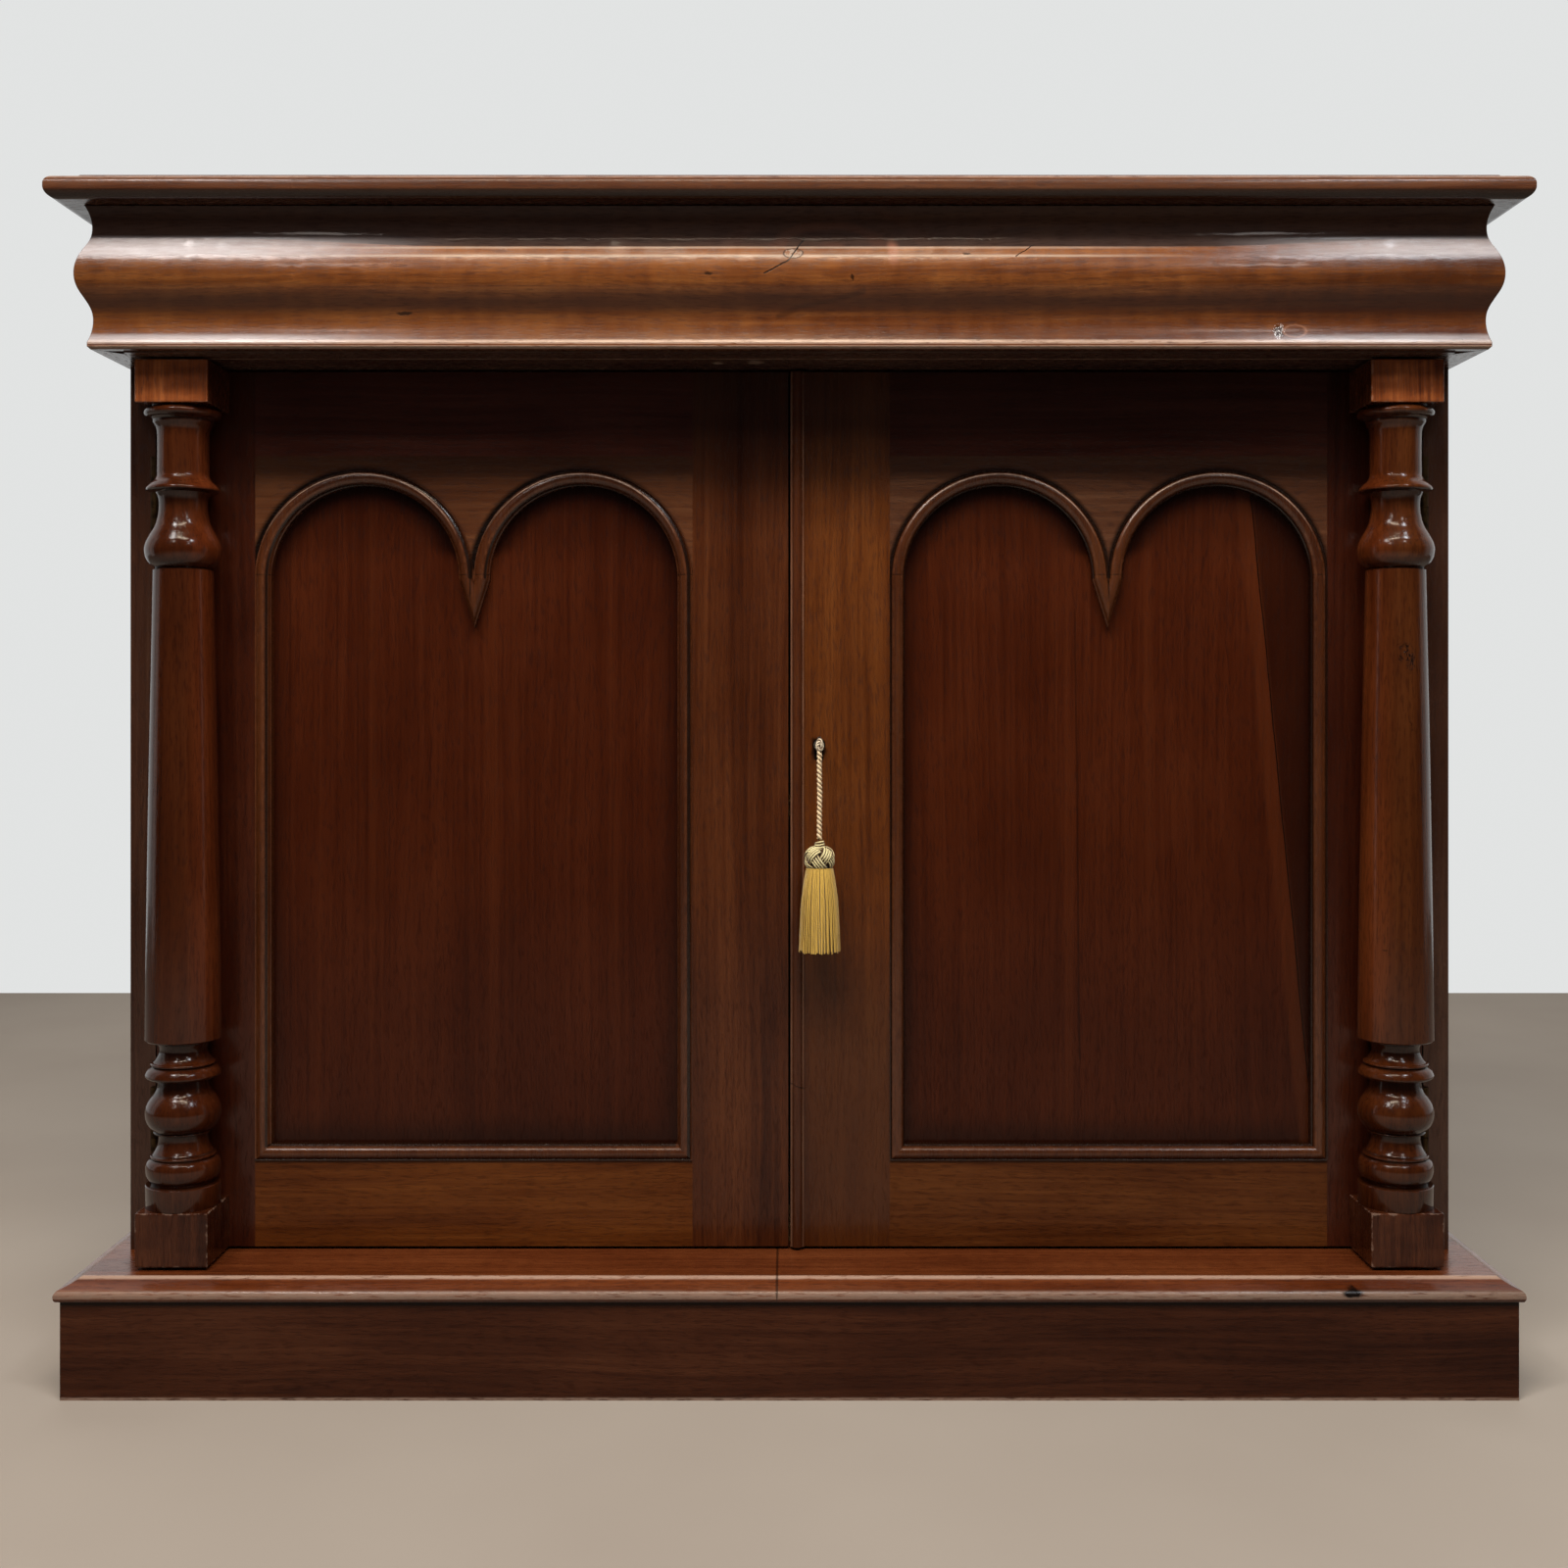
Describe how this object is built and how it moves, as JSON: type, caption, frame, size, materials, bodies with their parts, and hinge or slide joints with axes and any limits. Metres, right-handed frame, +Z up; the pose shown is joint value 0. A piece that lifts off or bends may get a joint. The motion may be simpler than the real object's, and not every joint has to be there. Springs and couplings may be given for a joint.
{
  "type": "chiffonier",
  "caption": "Low mahogany cupboard with an ogee frieze drawer, a pair of arched panelled doors with turned columns, a plinth, and a tasselled key.",
  "frame": {"origin": "centre of the top board's outline, on the floor", "axes": "+X to the right seen from the front, +Y to the back, +Z up; the doors and the drawer face -Y"},
  "size_m": [1.107, 0.457, 0.922],
  "materials": {
    "top_mahogany": "French-polished mahogany, worn at the nose",
    "frieze_mahogany": "French-polished figured mahogany, grain along the frieze",
    "carcass_mahogany": "polished mahogany, upright grain",
    "plinth_mahogany": "dull dark polish, rubbed at the foot",
    "plinth_top_mahogany": "bright polish, worn at the edge",
    "stile_mahogany": "polished mahogany, upright grain",
    "rail_mahogany": "polished mahogany, grain along the rail",
    "panel_mahogany": "polished dark red mahogany, upright grain",
    "bead_mahogany": "polished bead, worn pale along the arris",
    "column_mahogany": "turned and polished",
    "pine": "unpolished secondary wood",
    "oak": "unpolished drawer linings",
    "brass": "tarnished",
    "lock_steel": "dark, worn bright at the edges",
    "tassel_cord": "two-strand cotton cord",
    "tassel_knot": "woven cream cord",
    "tassel_fringe": "golden rayon fringe"
  },
  "bodies": {
    "carcass": {"back_boards": "pine", "bolt_keep": "brass", "bottom_board": "pine", "carcass_side_left": "carcass_mahogany", "carcass_side_right": "carcass_mahogany", "drawer_kickers": "pine", "drawer_rail": "carcass_mahogany", "drawer_runners": "pine", "dust_board": "pine", "fixed_hinges": "brass", "frieze_side_left": "frieze_mahogany", "frieze_side_right": "frieze_mahogany", "plinth_back": "pine", "plinth_blocks": "pine", "plinth_front": "plinth_mahogany", "plinth_sides": "plinth_mahogany", "plinth_top": "plinth_top_mahogany", "shelf": "pine", "shelf_bearers": "pine", "stop_blocks": "pine", "top_back_rail": "pine", "top_board": "top_mahogany"},
    "drawer": {"drawer_facing": "frieze_mahogany", "drawer_inner_front": "oak", "drawer_sides": "oak", "drawer_back": "oak", "drawer_bottom": "oak"},
    "left_door": {"left_column": "column_mahogany", "left_column_blocks": "column_mahogany", "left_door_arch_board": "rail_mahogany", "left_door_bead": "bead_mahogany", "left_door_bottom_rail": "rail_mahogany", "left_door_hinge_stile": "stile_mahogany", "left_door_leaves": "brass", "left_door_meeting_stile": "stile_mahogany", "left_door_panel": "panel_mahogany", "left_door_top_rail": "rail_mahogany", "lock_strike": "brass", "slide_bolt_case": "brass"},
    "right_door": {"astragal": "bead_mahogany", "escutcheon": "brass", "lock_case": "lock_steel", "right_column": "column_mahogany", "right_column_blocks": "column_mahogany", "right_door_arch_board": "rail_mahogany", "right_door_bead": "bead_mahogany", "right_door_bottom_rail": "rail_mahogany", "right_door_hinge_stile": "stile_mahogany", "right_door_leaves": "brass", "right_door_meeting_stile": "stile_mahogany", "right_door_panel": "panel_mahogany", "right_door_top_rail": "rail_mahogany"},
    "left_bolt": {"slide_bolt": "brass"},
    "key": {"key": "lock_steel", "tassel_hitch": "tassel_cord"},
    "lock_bolt": {"lock_bolt": "lock_steel"},
    "tassel": {"tassel_cord": "tassel_cord", "tassel_knot": "tassel_knot", "tassel_skirt": "tassel_fringe"}
  },
  "joints": [
    {"name": "drawer_slide", "type": "slide", "parent": "carcass", "child": "drawer", "axis": [0, -1, 0], "range_m": [0, 0.3]},
    {"name": "left_door_hinge", "type": "hinge", "parent": "carcass", "child": "left_door", "pos_m": [-0.5045, -0.1295, 0.4405], "axis": [0, 0, -1], "range_deg": [0, 95]},
    {"name": "right_door_hinge", "type": "hinge", "parent": "carcass", "child": "right_door", "pos_m": [0.5045, -0.1295, 0.4405], "axis": [0, 0, 1], "range_deg": [0, 95]},
    {"name": "left_bolt_slide", "type": "slide", "parent": "left_door", "child": "left_bolt", "axis": [0, 0, 1], "range_m": [0, 0.011]},
    {"name": "key_turn", "type": "hinge", "parent": "right_door", "child": "key", "pos_m": [0.0235, -0.127, 0.492], "axis": [0, -1, 0], "range_deg": [0, 180]},
    {"name": "lock_bolt_throw", "type": "slide", "parent": "right_door", "child": "lock_bolt", "axis": [-1, 0, 0], "range_m": [0, 0.009]},
    {"name": "tassel_swing", "type": "hinge", "parent": "right_door", "child": "tassel", "pos_m": [0.0235, -0.1535, 0.492], "axis": [0, -1, 0], "range_deg": [-20, 20]}
  ],
  "couplings": [
    {"joint": "lock_bolt_throw", "follows": "key_turn", "m_per_rad": 0.00286}
  ]
}
